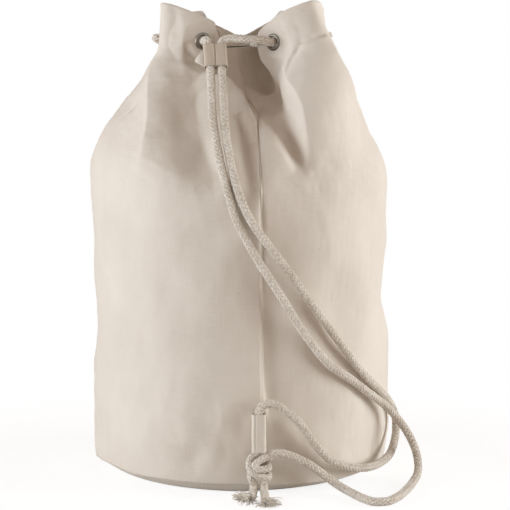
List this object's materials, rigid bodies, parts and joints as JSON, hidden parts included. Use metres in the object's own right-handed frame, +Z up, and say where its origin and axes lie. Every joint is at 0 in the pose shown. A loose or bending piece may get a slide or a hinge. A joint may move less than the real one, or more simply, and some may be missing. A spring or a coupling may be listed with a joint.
{
  "type": "sailor bag",
  "caption": "Standing round canvas duffel with a gathered drawcord mouth, a doubled rope strap, a sewn cord slider, knotted rope ends and a sleeve that anchors the rope at the base.",
  "frame": {"origin": "middle of the flat base, on the surface the bag stands on", "axes": "+Z up the bag, -Y towards the front with the seam, the slider and the knot, +X to the right seen from the front"},
  "size_m": [0.3098, 0.3252, 0.441],
  "materials": {
    "canvas": "natural unbleached cotton canvas, plain weave",
    "canvas_base": "natural unbleached cotton canvas, plain weave",
    "rope": "natural cotton, braided",
    "nickel": "nickel plated, dulled"
  },
  "bodies": {
    "bag": {"body_panel": "canvas", "base_panel": "canvas_base", "seam_lap": "canvas", "grommet_1": "nickel", "grommet_2": "nickel", "grommet_3": "nickel", "grommet_4": "nickel", "grommet_5": "nickel", "grommet_6": "nickel", "grommet_7": "nickel", "grommet_8": "nickel", "washer_1": "nickel", "washer_2": "nickel", "washer_3": "nickel", "washer_4": "nickel", "washer_5": "nickel", "washer_6": "nickel", "washer_7": "nickel", "washer_8": "nickel", "anchor_tab": "canvas", "drawcord": "rope", "strand_left": "rope", "strand_right": "rope", "end_knot": "rope", "tail_left": "rope", "tail_right": "rope"},
    "slider": {"cord_slider": "canvas"}
  },
  "joints": [
    {"name": "slider_on_rope", "type": "slide", "parent": "bag", "child": "slider", "axis": [0.0525, -0.4597, -0.8865], "range_m": [0, 0.045]}
  ]
}
